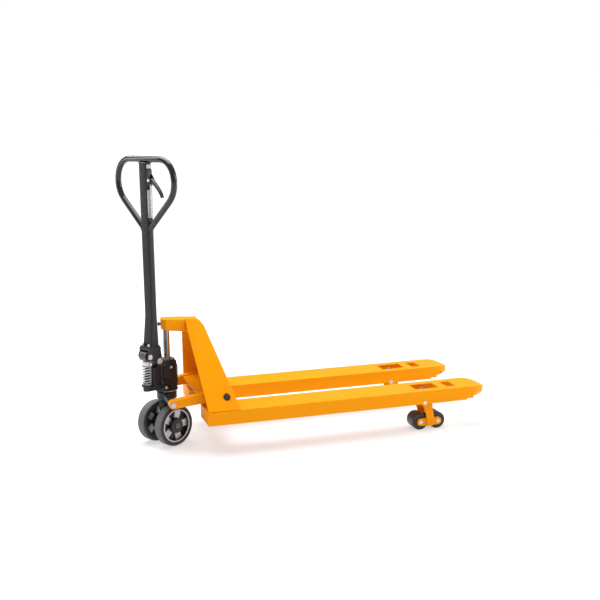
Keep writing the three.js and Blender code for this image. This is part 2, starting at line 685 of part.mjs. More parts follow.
function leverBracket() {
  const { y, z, r } = LEVER_PIVOT;
  const face = -TUBE_BREADTH / 2 - GAP;
  const parts = [box(TUBE_X - 13, TUBE_X + 13, face - 3, face, z - 26, z + 44)];
  for (const s of [1, -1]) {
    const cheek = crossPlate(
      outline([[face, z - 20], [y - 3, z - 9], [y - 9, z], [y - 3, z + 10], [face, z + 30]]),
      TUBE_X + (s > 0 ? 9 : -13), TUBE_X + (s > 0 ? 13 : -9),
    );
    parts.push(cheek);
  }
  return cut(joined(...parts), barX(r + GAP, y, z, TUBE_X - 20, TUBE_X + 20, 16));
}

function releaseLever() {
  const { y, z, r } = LEVER_PIVOT;
  const blade = new THREE.Shape();
  blade.moveTo(y + 6, z + 7);
  blade.lineTo(y - 7, z + 6);
  blade.quadraticCurveTo(y - 30, z - 14, y - 52, z - 34);
  blade.quadraticCurveTo(y - 66, z - 48, y - 70, z - 66);
  blade.lineTo(y - 63, z - 70);
  blade.quadraticCurveTo(y - 58, z - 56, y - 44, z - 46);
  blade.quadraticCurveTo(y - 16, z - 34, y + 4, z - 14);
  blade.closePath();
  return cut(
    crossPlate(blade, TUBE_X - 8.6, TUBE_X + 8.6),
    barX(r + GAP, y, z, TUBE_X - 20, TUBE_X + 20, 16),
  );
}

function buildHandle() {
  const z = (height) => FORK_TOP + height;
  const pivotPin = joined(
    barY(PIVOT.r, 0, 0, -38, 38, 24), barY(9, 0, 0, -40, -34, 24), barY(9, 0, 0, 34, 40, 24),
  );
  add(steered, "handle_pivot_pin", ZINC, pivotPin, PIVOT.x, 0, PIVOT.z);
  add(steered, "handle_base", GRAPHITE, handleBase());
  add(steered, "handle_tube", GRAPHITE, handleTube());
  add(steered, "handle_loop", BLACK, handleLoop());
  const ring = [[6 + GAP, -21], [PRESS.r - 1, -21], [PRESS.r, -20], [PRESS.r, 20],
    [PRESS.r - 1, 21], [6 + GAP, 21], [6 + GAP, -21]];
  add(steered, "pressing_roller", STEEL, turnedY(ring, 28), PRESS.x, 0, PRESS.z);
  const rollerPin = joined(
    barY(6, 0, 0, -36, 36, 20), barY(7.5, 0, 0, -37, -34, 20), barY(7.5, 0, 0, 34, 37, 20),
  );
  add(steered, "pressing_roller_pin", ZINC, rollerPin, PRESS.x, 0, PRESS.z);
  for (const [side, s] of SIDES) {
    const bolt = joined(barZ(5.4, 0, 0, -2, 2, 16), barZ(5, 0, 0, 1, 7, 6));
    add(steered, "base_bolt_" + side, ZINC, bolt, -112.2, s * 20, z(257.5));
  }
  add(steered, "lever_bracket", BLACK, leverBracket());
  add(steered, "release_lever", BLACK, releaseLever());
  const leverPin = joined(
    barX(LEVER_PIVOT.r, 0, 0, -16, 16, 16), barX(6, 0, 0, -17, -13.4, 16), barX(6, 0, 0, 13.4, 17, 16),
  );
  add(steered, "lever_pin", ZINC, leverPin, TUBE_X, LEVER_PIVOT.y, LEVER_PIVOT.z);
  const rodY = -TUBE_BREADTH / 2 - 7;
  const rod = joined(
    barZ(3, TUBE_X, rodY, z(812), z(934), 12),
    barZ(5, TUBE_X, rodY, z(798), z(816), 12),
  );
  add(steered, "pull_rod", ZINC, rod);
}

buildChassis();
buildLinkage();
buildRunningGear();
buildPump();
buildValveLinkage();
buildHandle();

// The footprint's middle becomes the origin.
const bounds = new THREE.Box3().setFromObject(truck, true);
truck.position.x = -(bounds.min.x + bounds.max.x) / 2;

export default truck;
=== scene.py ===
"""Hand pallet truck: finishes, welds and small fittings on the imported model."""
import math

import bpy
from mathutils import Matrix, Vector


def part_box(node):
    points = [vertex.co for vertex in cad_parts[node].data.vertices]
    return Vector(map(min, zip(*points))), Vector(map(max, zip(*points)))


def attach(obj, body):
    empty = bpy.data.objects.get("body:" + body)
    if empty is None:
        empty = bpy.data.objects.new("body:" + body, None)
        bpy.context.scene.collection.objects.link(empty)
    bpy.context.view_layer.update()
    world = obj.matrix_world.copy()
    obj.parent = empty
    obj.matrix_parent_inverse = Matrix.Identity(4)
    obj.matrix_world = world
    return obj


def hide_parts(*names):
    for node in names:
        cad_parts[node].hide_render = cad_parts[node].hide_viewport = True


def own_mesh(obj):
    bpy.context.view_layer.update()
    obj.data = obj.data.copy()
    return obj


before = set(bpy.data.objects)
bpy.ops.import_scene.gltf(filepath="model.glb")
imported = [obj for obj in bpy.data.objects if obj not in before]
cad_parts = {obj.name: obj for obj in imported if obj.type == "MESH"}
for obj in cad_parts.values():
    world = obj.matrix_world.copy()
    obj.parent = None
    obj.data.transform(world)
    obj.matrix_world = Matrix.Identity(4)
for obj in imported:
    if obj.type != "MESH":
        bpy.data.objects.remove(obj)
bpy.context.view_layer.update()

MM = 0.001
SIDES = (("left", 1), ("right", -1))

# ---- where things are, from the model ----
ram_low, ram_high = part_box("lift_ram")
STEER_AXIS = (ram_low + ram_high) / 2
FORK_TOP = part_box("fork_left")[1].z
LOAD_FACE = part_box("load_plate")[1].x + MM
STEER_ANGLE = math.radians(30)
FORK_Y = 195
ROCKER_AXLE = (-50.5, 51)
ARM_PIN = (-268, 23)
ROLLER_Z = -153
ROLLERS = (("front", 917), ("rear", 835))
PLUNGER_X = -113
VALVE_Z = 66
WHEEL_AXLE = (-24, -100)
WHEEL_Y = 57
TUBE_X = -78
LEVER_PIN = (-37, 952)
AHEAD = Vector((math.cos(STEER_ANGLE), math.sin(STEER_ANGLE), 0))
ASIDE = Vector((-math.sin(STEER_ANGLE), math.cos(STEER_ANGLE), 0))
UP = Vector((0, 0, 1))


def truck(x, y, z):
    """Millimetres from the load face, the middle and the fork tops."""
    return Vector((LOAD_FACE + x * MM, y * MM, FORK_TOP + z * MM))


def steered(ahead, aside, z):
    """Millimetres from the steering axis, along and across the steered wheels."""
    point = Vector((STEER_AXIS.x, STEER_AXIS.y, FORK_TOP + z * MM))
    return point + AHEAD * ahead * MM + ASIDE * aside * MM


# ---- finishes ----
class Socket:
    """One output of a material's nodes; arithmetic on it adds Math nodes."""

    def __init__(self, output):
        self.output = output

    def node(self, kind, settings=None, inputs=None, out=0):
        """Any other node: its type, its settings and what its sockets are given."""
        made = self.output.id_data.nodes.new("ShaderNode" + kind)
        for key, value in (settings or {}).items():
            if key == "stops":
                ramp = made.color_ramp.elements
                while len(ramp) < len(value):
                    ramp.new(0.5)
                for stop, (place, shade) in zip(ramp, value):
                    stop.position = place
                    stop.color = (shade, shade, shade, 1)
            else:
                setattr(made, key, value)
        for key, value in (inputs or {}).items():
            if isinstance(value, Socket):
                self.output.id_data.links.new(value.output, made.inputs[key])
            else:
                made.inputs[key].default_value = value
        return Socket(made.outputs[out])

    def maths(self, operation, first, second):
        return self.node("Math", {"operation": operation}, {0: first, 1: second})

    def __add__(self, other):
        return self.maths("ADD", self, other)

    __radd__ = __add__

    def __sub__(self, other):
        return self.maths("SUBTRACT", self, other)

    def __rsub__(self, other):
        return self.maths("SUBTRACT", other, self)

    def __mul__(self, other):
        return self.maths("MULTIPLY", self, other)

    __rmul__ = __mul__


def start_finish(name, **uniform):
    """A new material: its shader, and the object coordinates that patterns start from."""
    material = bpy.data.materials.new(name)
    material.use_nodes = True
    shader = material.node_tree.nodes["Principled BSDF"]
    for key, value in uniform.items():
        words = key.replace("_", " ").title().replace("Ior", "IOR")
        shader.inputs[words].default_value = value
    place = material.node_tree.nodes.new("ShaderNodeTexCoord").outputs["Object"]
    return material, shader, Socket(place)


def feed(shader, key, value):
    """Link a value to one of the shader's sockets."""
    shader.id_data.links.new(value.output, shader.inputs[key])


def noise(place, scale, detail=3.0, stretch=None):
    """Noise over the object, finer along the axes that are stretched."""
    if stretch:
        place = place.node("Mapping", None, {"Vector": place, "Scale": stretch})
    inputs = {"Vector": place, "Scale": scale, "Detail": detail}
    return place.node("TexNoise", None, inputs)


def ramp(value, *stops):
    """A value remapped by grey stops of place and shade."""
    return value.node("ValToRGB", {"stops": stops}, {"Fac": value})


def between(mask, first, second):
    """A colour that goes from first to second as the mask rises."""
    inputs = {"Factor": mask, 6: (*first, 1), 7: (*second, 1)}
    return mask.node("Mix", {"data_type": "RGBA"}, inputs, out=2)


def bumped(shader, height, strength, distance):
    inputs = {"Height": height, "Strength": strength, "Distance": distance}
    feed(shader, "Normal", height.node("Bump", None, inputs, out="Normal"))


def enamel(name, light, dark, gloss, peel=0.10, coat=0.35, sheen=0.5):
    """Sprayed paint: faint clouding, orange peel and small scuffs."""
    uniform = {"coat_weight": coat, "coat_roughness": 0.12, "metallic": 0.0}
    uniform["specular_ior_level"] = sheen
    material, shader, place = start_finish(name, **uniform)
    cloud = noise(place, 7.0, 4.0)
    scuff = ramp(noise(place, 55.0, 6.0, stretch=(0.25, 1, 1)), (0.60, 0.0), (0.72, 1.0))
    feed(shader, "Base Color", between(cloud, dark, light))
    feed(shader, "Roughness", gloss + 0.10 * cloud + 0.14 * scuff)
    bumped(shader, noise(place, 420.0, 2.0) + 0.6 * noise(place, 90.0, 2.0), peel, 0.0004)
    return material


def plated(name, light, dark, gloss, grain=(1, 1, 1), scale=180.0, bump=0.05, metal=1.0):
    """Bare or plated metal: grain that changes the gloss, and faint stains."""
    material, shader, place = start_finish(name, metallic=metal)
    stain = noise(place, 30.0, 5.0)
    lines = noise(place, scale, 4.0, stretch=grain)
    feed(shader, "Base Color", between(stain, dark, light))
    feed(shader, "Roughness", gloss + 0.16 * lines + 0.08 * stain)
    bumped(shader, lines, bump, 0.0003)
    return material


def moulded(name, light, dark, gloss, grain=260.0, bump=0.2):
    """Rubber or plastic: matt, with a fine pitted skin and pale dust."""
    material, shader, place = start_finish(name, metallic=0.0)
    dust = ramp(noise(place, 38.0, 6.0), (0.45, 0.0), (0.80, 1.0))
    feed(shader, "Base Color", between(dust, dark, light))
    feed(shader, "Roughness", gloss + 0.12 * dust)
    bumped(shader, noise(place, grain, 3.0), bump, 0.0004)
    return material


ORANGE = enamel("orange_enamel", (0.90, 0.318, 0.0), (0.85, 0.290, 0.0), 0.42, 0.08, 0.05, 0.06)
GRAPHITE = enamel("graphite_enamel", (0.018, 0.018, 0.019), (0.010, 0.010, 0.011), 0.36, 0.12, 0.03, 0.28)
CAST = enamel("cast_graphite", (0.027, 0.029, 0.032), (0.012, 0.013, 0.015), 0.36, 0.50, 0.05, 0.3)
BLACK = enamel("black_gloss_enamel", (0.010, 0.010, 0.011), (0.006, 0.006, 0.007), 0.08, 0.02, 0.5, 0.3)
# painted highlight: a pale grey paint for plates that stand in for light reflected off the handle tube
PAINTED_SHEEN = enamel("painted_sheen_grey", (0.50, 0.51, 0.52), (0.42, 0.43, 0.44), 0.34)
ZINC = plated("zinc_plate", (0.74, 0.76, 0.78), (0.54, 0.56, 0.59), 0.22, metal=0.5)
STEEL = plated("turned_steel", (0.55, 0.55, 0.56), (0.36, 0.36, 0.37), 0.24, (1, 8, 1))
DARK_STEEL = plated("oiled_steel", (0.16, 0.16, 0.17), (0.08, 0.08, 0.09), 0.30)
ALLOY = plated("cast_alloy", (0.72, 0.76, 0.80), (0.56, 0.60, 0.64), 0.34, bump=0.25, metal=0.5)
BRASS = plated("brass", (0.80, 0.58, 0.25), (0.60, 0.42, 0.16), 0.22)
ROLLER = moulded("roller_polyurethane", (0.030, 0.030, 0.031), (0.010, 0.010, 0.011), 0.38, 120.0, 0.1)
PLASTIC = moulded("black_plastic", (0.022, 0.022, 0.023), (0.010, 0.010, 0.011), 0.42)


def from_wheel_axle(place):
    """Distance from the line of the steering wheels' axle, in metres."""
    centre = steered(WHEEL_AXLE[0], 0, WHEEL_AXLE[1])
    arm = place.node("VectorMath", {"operation": "SUBTRACT"}, {0: place, 1: tuple(centre)})
    side = arm.node("VectorMath", {"operation": "CROSS_PRODUCT"}, {0: arm, 1: tuple(ASIDE)})
    return side.node("VectorMath", {"operation": "LENGTH"}, {0: side}, out="Value")


def tyre_rubber():
    """Black side walls and a paler, worn-grey tread."""
    material, shader, place = start_finish("tyre_rubber", metallic=0.0)
    tread = ramp(from_wheel_axle(place) * 10.0, (0.872, 0.0), (0.892, 1.0))
    dust = noise(place, 45.0, 6.0)
    walls = between(dust, (0.016, 0.016, 0.017), (0.034, 0.034, 0.035))
    worn = between(dust, (0.11, 0.11, 0.112), (0.17, 0.17, 0.172))
    mixed = tread.node("Mix", {"data_type": "RGBA"}, {"Factor": tread, 6: walls, 7: worn}, out=2)
    feed(shader, "Base Color", mixed)
    feed(shader, "Roughness", 0.50 + 0.18 * tread + 0.1 * dust)
    bumped(shader, noise(place, 260.0, 3.0), 0.2, 0.0004)
    return material


def lift_chrome():
    """Hard chrome on the ram, with painted reflections: dark and bright streaks along it, set in its
    colour.
    """
    material, shader, place = start_finish("ram_chrome", metallic=1.0)
    arm = place.node("VectorMath", {"operation": "SUBTRACT"}, {0: place, 1: tuple(STEER_AXIS)})
    parts = arm.node("SeparateXYZ", None, {"Vector": arm}).output.node.outputs
    x, y = Socket(parts["X"]), Socket(parts["Y"])
    turn = x.maths("ARCTAN2", y, x)
    # painted reflection: dark and bright bands round the ram, painted into the chrome's colour
    painted_reflection = turn.maths("SINE", 5.0 * turn + 0.6, 0.0) * 0.5 + 0.5
    painted_reflection = ramp(painted_reflection, (0.25, 0.0), (0.70, 1.0))
    fine = noise(place, 160.0, 3.0, stretch=(1, 1, 12))
    feed(shader, "Base Color", between(painted_reflection, (0.10, 0.10, 0.11), (0.62, 0.63, 0.65)))
    feed(shader, "Roughness", 0.12 + 0.12 * fine)
    bumped(shader, fine, 0.02, 0.0002)
    return material


def spoked_hub():
    """Black hub with bare machined spokes: the finish changes with distance from the axle."""
    material, shader, place = start_finish("spoked_hub")
    reach = from_wheel_axle(place)
    spokes = reach.maths("GREATER_THAN", reach, 0.034) * reach.maths("LESS_THAN", reach, 0.0655)
    stain = noise(place, 60.0, 4.0)
    silver = between(stain, (0.44, 0.47, 0.51), (0.62, 0.66, 0.70))
    dark = (0.018, 0.018, 0.020, 1)
    mixed = spokes.node("Mix", {"data_type": "RGBA"}, {"Factor": spokes, 6: dark, 7: silver}, out=2)
    feed(shader, "Base Color", mixed)
    feed(shader, "Metallic", spokes * 0.5)
    feed(shader, "Roughness", 0.30 + 0.12 * stain)
    bumped(shader, noise(place, 300.0, 3.0), 0.15, 0.0003)
    return material


HUB = spoked_hub()
TYRE = tyre_rubber()
CHROME = lift_chrome()

NODE_FINISHES = {
    "fork_": ORANGE, "tower_plate_": ORANGE, "load_plate": ORANGE, "lift_head": ORANGE,
    "rocker_arm": ORANGE, "wheel_frame_": ORANGE, "bogie_plate_": ORANGE,
    "fork_pin_": ZINC, "entry_roller_": PLASTIC, "head_bolt": PLASTIC, "rocker_axle": BLACK,
    "thrust_ball": STEEL, "bearing_bracket": CAST, "arm_pin_": STEEL, "push_rod_": STEEL,
    "roller_pin_": ZINC, "load_roller_": ROLLER, "lift_ram": CHROME, "pump_body": CAST,
    "gland_nut": STEEL, "plunger_cylinder": PLASTIC, "plunger_spring": ZINC, "plunger": DARK_STEEL,
    "thrust_bearing": STEEL, "steering_fork": CAST, "release_valve": CAST, "wheel_axle": STEEL,
    "steer_tyre_": TYRE, "steer_hub_": HUB, "valve_lever": BLACK, "handle_pivot_pin": ZINC,
    "handle_base": CAST, "handle_tube": GRAPHITE, "handle_loop": BLACK,
    "pressing_roller": DARK_STEEL, "pressing_roller_pin": ZINC, "base_bolt_": ZINC,
    "lever_bracket": PLASTIC, "release_lever": PLASTIC, "lever_pin": ZINC, "pull_rod": ZINC,
}
SHARP_PRESSINGS = ("fork_l", "fork_r", "tower_plate", "load_plate", "lift_head", "rocker_arm",
                   "wheel_frame", "bogie_plate", "pump_body", "handle_base", "handle_tube",
                   "bearing_bracket", "steering_fork", "lever_bracket", "release_lever")


def finish_for(name):
    keys = [key for key in NODE_FINISHES if name.startswith(key)]
    return NODE_FINISHES[max(keys, key=len)]


def crease(piece, degrees):
    split = piece.modifiers.new("creases", "EDGE_SPLIT")
    split.split_angle = math.radians(degrees)


def soften(piece, width, angle=32):
    """Small rounded edges, with flat faces left flat."""
    edge = piece.modifiers.new("rounded_edges", "BEVEL")
    edge.width = width
    edge.segments = 2
    edge.limit_method = "ANGLE"
    edge.angle_limit = math.radians(angle)
    edge.use_clamp_overlap = True
    crease(piece, 20)


def finish_nodes():
    """Each model node's finish, its rounded edges and its creases."""
    for name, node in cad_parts.items():
        node.data.materials.clear()
        node.data.materials.append(finish_for(name))
        for polygon in node.data.polygons:
            polygon.use_smooth = True
            polygon.material_index = 0
        weld = node.modifiers.new("joined_corners", "WELD")
        weld.merge_threshold = 0.00002
        if name.startswith(SHARP_PRESSINGS):
            soften(node, 0.0022 if name.startswith(("tower", "lift", "fork")) else 0.0012)
        else:
            crease(node, 32)


# ---- making pieces ----
def piece(name, points, faces, body, finish, slot, sharp=35):
    """A mesh piece that rides on a body and keeps edges sharper than an angle."""
    mesh = bpy.data.meshes.new(name)
    mesh.from_pydata([tuple(point) for point in points], [], faces)
    mesh.materials.append(finish)
    for polygon in mesh.polygons:
        polygon.use_smooth = True
    mesh.set_sharp_from_angle(angle=math.radians(sharp))
    made = bpy.data.objects.new(name, mesh)
    bpy.context.scene.collection.objects.link(made)
    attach(made, body)
    return made


def turned(name, profile, centre, axis, body, finish, slot, steps=40, sharp=35):
    """A closed [radius, along] outline in millimetres, turned about an axis."""
    frame_of = axis.to_track_quat("Z", "X").to_matrix()
    points, faces = [], []
    for step in range(steps):
        turn = 2 * math.pi * step / steps
        for radius, along in profile:
            ring = Vector((radius * math.cos(turn), radius * math.sin(turn), along)) * MM
            points.append(centre + frame_of @ ring)
    rows = len(profile)
    for step in range(steps):
        after = (step + 1) % steps
        for row in range(rows):
            up = (row + 1) % rows
            corners = (step * rows + row, after * rows + row, after * rows + up, step * rows + up)
            faces.append(corners)
    return piece(name, points, faces, body, finish, slot, sharp)


def washer(name, centre, axis, inner, outer, thick, body, finish, slot):
    """A flat ring whose outer edges are broken."""
    lip = min(0.6, thick / 3)
    profile = [
        (inner, 0), (outer - lip, 0), (outer, lip), (outer, thick - lip),
        (outer - lip, thick), (inner, thick),
    ]
    return turned(name, profile, centre, axis, body, finish, slot)


def hexagon(name, centre, axis, across, thick, body, finish, slot, hollow=0):
    """A hexagon head with a chamfered face and, if asked, a socket in it."""
    turn_to = axis.to_track_quat("Z", "X").to_matrix()
    rings = [(across, 0), (across, thick - 1), (across * 0.86, thick)]
    rings += [(hollow, thick), (hollow * 0.94, thick * 0.4)] if hollow else []
    points, faces = [], []
    for radius, along in rings:
        for corner in range(6):
            turn = math.pi * corner / 3
            spot = Vector((radius * math.cos(turn), radius * math.sin(turn), along)) * MM
            points.append(centre + turn_to @ spot)
    for ring in range(len(rings) - 1):
        for corner in range(6):
            after = (corner + 1) % 6
            low, high = ring * 6, ring * 6 + 6
            faces.append((low + corner, low + after, high + after, high + corner))
    faces.append(tuple(reversed(range(6))))
    faces.append(tuple(range(len(points) - 6, len(points))))
    return piece(name, points, faces, body, finish, slot, sharp=20)


def bead(name, path, radius, body, finish=ORANGE, slot="orange_paint", ripple=0.16, sides=8):
    """A weld run along a path of points, with ripples one radius apart."""
    length = sum((b - a).length for a, b in zip(path, path[1:]))
    count = max(6, int(length / (radius * MM * 0.9)))
    points, faces = [], []
    for step in range(count + 1):
        spot, along = point_on(path, step / count)
        out = along.orthogonal().normalized()
        cross = along.cross(out).normalized()
        swell = 1 + ripple * math.cos(math.pi * step)
        close = min(1.0, 0.35 + 0.65 * min(step, count - step))
        for side in range(sides):
            turn = 2 * math.pi * side / sides
            reach = out * math.cos(turn) + cross * math.sin(turn)
            points.append(spot + reach * radius * MM * swell * close)
    for step in range(count):
        for side in range(sides):
            after = (side + 1) % sides
            low, high = step * sides, step * sides + sides
            faces.append((low + side, low + after, high + after, high + side))
    faces.append(tuple(reversed(range(sides))))
    faces.append(tuple(range(count * sides, count * sides + sides)))
    return piece(name, points, faces, body, finish, slot, sharp=80)


def point_on(path, share):
    """The point at a share of the path's length, and the direction there."""
    lengths = [(b - a).length for a, b in zip(path, path[1:])]
    left = share * sum(lengths)
    for (a, b), length in zip(zip(path, path[1:]), lengths):
        if left <= length or b is path[-1]:
            return a + (b - a) * min(1.0, left / length), (b - a).normalized()
        left -= length


def bar(name, corners, depth, body, finish, slot, rounding=0.6):
    """A flat outline of points given thickness along a vector."""
    count = len(corners)
    points = list(corners) + [corner + depth for corner in corners]
    faces = [tuple(range(count)), tuple(reversed(range(count, 2 * count)))]
    for index in range(count):
        after = (index + 1) % count
        faces.append((after, index, index + count, after + count))
    made = piece(name, points, faces, body, finish, slot, sharp=30)
    soften(made, rounding * MM)
    return made


# ---- chassis ----
def plate_inner(height):
    """How far out the leaning side plates' inner faces are at a height."""
    return 275 - 0.661 * height - 9.6


def chassis_welds():
    for side, s in SIDES:
        seam = [truck(-0.316 * h - 0.5, s * (plate_inner(h) - 1.6), h) for h in (3, 150, 298)]
        bead("weld_load_plate_" + side, seam, 2.6, "chassis")
        foot = [truck(x, s * 264, 1.6) for x in (-134, -20)]
        bead("weld_tower_foot_" + side, foot, 3.0, "chassis")
        floor = [truck(0.2, s * y, 1.2) for y in (117, 262)]
        bead("weld_plate_foot_" + side, floor, 2.6, "chassis")
        low = [truck(0.2, s * 114.6, z) for z in (-51, 1)]
        bead("weld_lower_plate_" + side, low, 2.4, "chassis")
        crown = [truck(x, s * (plate_inner(348) - 0.4), 348.6) for x in (-172, -120)]
        bead("weld_head_" + side, crown, 2.4, "chassis")


def chassis_fittings():
    for side, s in SIDES:
        lean = Vector((0, s, 0.661)).normalized()
        rim = truck(ROCKER_AXLE[0], s * 241.6, ROCKER_AXLE[1])
        washer("axle_collar_" + side, rim, lean, 13.4, 15.0, 2.0, "chassis", BLACK, "black_paint")
        end = truck(ROCKER_AXLE[0], s * 246, ROCKER_AXLE[1])
        cap = [(0.01, -0.2), (11.5, -0.2), (11.5, 0.5), (6.5, 1.2), (5.5, 0.4), (0.01, 0.4)]
        turned("axle_end_" + side, cap, end, Vector((0, s, 0)), "chassis", PLASTIC, "black_paint")
        stub = truck(1096, s * FORK_Y + s * 74.2, -31)
        washer("entry_stub_" + side, stub, Vector((0, s, 0)), 0.01, 3.6, 0.7, "chassis", ZINC, "zinc")


# ---- rocker and running gear ----
def rocker_welds():
    x, z = ROCKER_AXLE
    for side, s in SIDES:
        for y in (154.4, 190.6):
            ring = [
                truck(x + 22.2 * math.cos(a), s * y, z + 22.2 * math.sin(a))
                for a in [math.radians(d) for d in range(60, 301, 20)]
            ]
            bead(f"weld_arm_{side}_{int(y)}", ring, 2.0, "rocker")
        pin = truck(ARM_PIN[0], s * 190.1, ARM_PIN[1])
        out = Vector((0, s, 0))
        washer("arm_washer_" + side, pin, out, 9.5, 12.5, 0.9, "rocker", STEEL, "bare_steel")


def running_gear():
    """Pin heads on the bogies; the rear ones are flush, to pass inside the wheel frames."""
    domed = [(0.01, 0), (8.5, 0), (8.5, 1.2), (7, 2.2), (4, 2.4), (3, 1.6), (0.01, 1.6)]
    flush = [(0.01, -0.1), (8.5, -0.5), (8.5, 0.0), (7.8, 0.3), (0.01, 0.3)]
    heads = {"front": domed, "rear": flush}
    for side, s in SIDES:
        for end, x in ROLLERS:
            for where, t in (("outer", 1), ("inner", -1)):
                spot = truck(x, s * FORK_Y + t * s * 44.7, ROLLER_Z)
                way = Vector((0, t * s, 0))
                turned(f"pin_head_{side}_{end}_{where}", heads[end], spot, way,
                       "bogie_" + side, ZINC, "zinc")
        for step, x in enumerate((770, 782)):
            spot = truck(x, s * FORK_Y, -21.8)
            hexagon(f"rod_nut_{side}_{step}", spot, Vector((1, 0, 0)), 13, 9,
                    "push_rod_" + side, ZINC, "zinc")


# ---- pump and steering ----
def plunger_coil():
    """The return spring, a coil round the plunger."""
    turns, low, high, reach, wire = 8.5, 90.4, 168.6, 18.6, 2.0
    steps = int(turns * 28)
    path = []
    for step in range(steps + 1):
        share = step / steps
        a = 2 * math.pi * turns * share
        rise = min(1.0, max(0.0, (share * turns - 0.8) / (turns - 1.6)))
        z = low + (high - low) * rise
        path.append(steered(PLUNGER_X + reach * math.cos(a), reach * math.sin(a), z))
    coil = bead("plunger_coil", path, wire, "pump", ZINC, "zinc", 0.0, 10)
    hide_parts("plunger_spring")
    steered(PLUNGER_X, 0, low - wire)
    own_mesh(coil)


def pump_fittings():
    plunger_coil()
    shell = [(16.4, 172), (17.6, 172), (17.6, 187.5), (14, 191.2), (0.01, 191.2), (0.01, 191.0)]
    shell += [(13.6, 191.0), (16.4, 187.4)]
    turned("plunger_cap", shell, steered(PLUNGER_X, 0, 0), UP, "plunger", ZINC, "zinc", 40)
    ring = [(40.2, 0), (43, 0), (43.6, 1), (43.6, 5), (42, 6), (40.2, 6)]
    turned("pump_foot_ring", ring, steered(0, 0, 46), UP, "pump", CAST, "graphite_paint", 56)
    for index, degrees in enumerate((-75, -35, 5, 45)):
        a = math.radians(degrees)
        spot = steered(25.5 * math.cos(a), 25.5 * math.sin(a), 180)
        hexagon(f"gland_screw_{index}", spot, UP, 4.2, 4, "pump", ZINC, "zinc", 2.2)
    for index, degrees in enumerate((-70, -45, -20, 5)):
        a = math.radians(degrees)
        out = AHEAD * math.cos(a) + ASIDE * math.sin(a)
        cross = UP.cross(out)
        base = steered(39.2 * math.cos(a), 39.2 * math.sin(a), 62)
        corners = [base - cross * 2 * MM, base + cross * 2 * MM,
                   base + cross * 1.4 * MM + out * 4 * MM, base - cross * 1.4 * MM + out * 4 * MM]
        bar(f"pump_rib_{index}", corners, UP * 92 * MM, "pump", CAST, "graphite_paint")
    plug = steered(-10, -38.2, 150)
    hexagon("oil_filler_plug", plug, -ASIDE, 5.5, 5, "pump", ZINC, "zinc", 2.6)
    washer("oil_plug_washer", plug, -ASIDE, 4, 7.0, 1.0, "pump", BRASS, "zinc")
    valve = steered(-16, -38.2, VALVE_Z)
    washer("valve_collar", valve, -ASIDE, 6.8, 13, 2.0, "pump", CAST, "graphite_paint")
    boss = [(0.01, 0), (14, 0), (14, 9), (12.5, 10.5), (9.5, 10.5), (9.0, 9.5), (0.01, 9.5)]
    face = steered(-42, -29.5, VALVE_Z)
    turned("valve_boss", boss, face, -ASIDE, "pump", CAST, "graphite_paint", 36)
    hexagon("valve_screw", steered(-42, -39, VALVE_Z), -ASIDE, 7, 4, "pump", ZINC, "zinc", 3)
    for index, z in enumerate((112, 136)):
        run = [steered(x, -20.2, z) for x in (-86, -46)]
        edge = [run[0], run[1], run[1] + UP * 3.2 * MM, run[0] + UP * 3.2 * MM]
        bar(f"housing_rib_{index}", edge, -ASIDE * 3.4 * MM, "pump", CAST, "graphite_paint")
    pin = [(0.01, 0), (2.6, 0), (2.6, 34), (2.0, 36), (0.01, 36)]
    turned("level_pin", pin, steered(22, -40, 112), UP, "pump", ZINC, "zinc", 20)


def wheel_fittings():
    x, z = WHEEL_AXLE
    for side, s in SIDES:
        out = ASIDE * s
        body = "steer_wheel_" + side
        middle = steered(x, s * WHEEL_Y, z)
        web = [(20, -1.5), (66.5, -1.5), (66.5, 1.5), (20, 1.5)]
        turned("hub_web_" + side, web, middle, out, body, PLASTIC, "black_paint", 56)
        face = steered(x, s * (WHEEL_Y + 20.2), z)
        rim = [(66.5, 0), (72.4, 0), (72.0, 1.4), (70.5, 2.2), (67.5, 2.2), (66.7, 1.2)]
        turned("rim_bead_" + side, rim, face, out, body, ALLOY, "hub_aluminium", 72)
        cap_at = steered(x, s * (WHEEL_Y + 22.4), z)
        cap = [(10.6, 0), (30, 0), (31.5, 1.2), (30, 3.2), (22, 4.4), (14, 4.8), (10.6, 4.8)]
        turned("hub_cap_" + side, cap, cap_at, out, body, PLASTIC, "black_paint", 56)
        silver = [(26.6, 3.2), (28.0, 3.0), (28.0, 4.0), (26.8, 4.4)]
        turned("hub_cap_ring_" + side, silver, cap_at, out, body, DARK_STEEL, "hub_aluminium", 56)
        end = steered(x, s * 84.4, z)
        clip = [(0.01, 0), (9, 0), (9, 0.8), (8, 1.6), (3, 1.6), (2.2, 1.0), (0.01, 1.0)]
        turned("axle_tip_" + side, clip, end, out, "pump", DARK_STEEL, "bare_steel", 32)
        for index, radius in enumerate((77.0, 80.5)):
            groove = [(radius, -0.2), (radius + 0.9, 0.5), (radius + 1.8, -0.2)]
            line = steered(x, s * (WHEEL_Y + 24.1), z)
            turned(f"tyre_line_{side}_{index}", groove, line, out, body, TYRE, "tyre_rubber", 72)


# ---- handle ----
def curve(first, pull, last, steps=6):
    """Points along a quadratic curve, without its first one."""
    points = []
    for step in range(1, steps + 1):
        t = step / steps
        points.append(tuple((1 - t) ** 2 * a + 2 * t * (1 - t) * b + t * t * c
                            for a, b, c in zip(first, pull, last)))
    return points


def lever_blade():
    """The slim hooked blade of the release lever, round its pin."""
    edge = [(6, 7), (-7, 6)]
    edge += curve((-7, 6), (-32, -11), (-52, -36))
    edge += curve((-52, -36), (-66, -52), (-70, -68))
    edge += [(-65, -70.5)]
    edge += curve((-65, -70.5), (-60, -56), (-47, -43))
    edge += curve((-47, -43), (-26, -20), (-8, -13))
    edge += [(3, -11), (6, -4)]
    pin_y, pin_z = LEVER_PIN
    corners = [steered(TUBE_X - 8, pin_y + y, pin_z + z) for y, z in edge]
    blade = bar("lever_blade", corners, AHEAD * 16 * MM, "release_lever", PLASTIC, "black_paint", 1.4)
    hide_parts("release_lever")


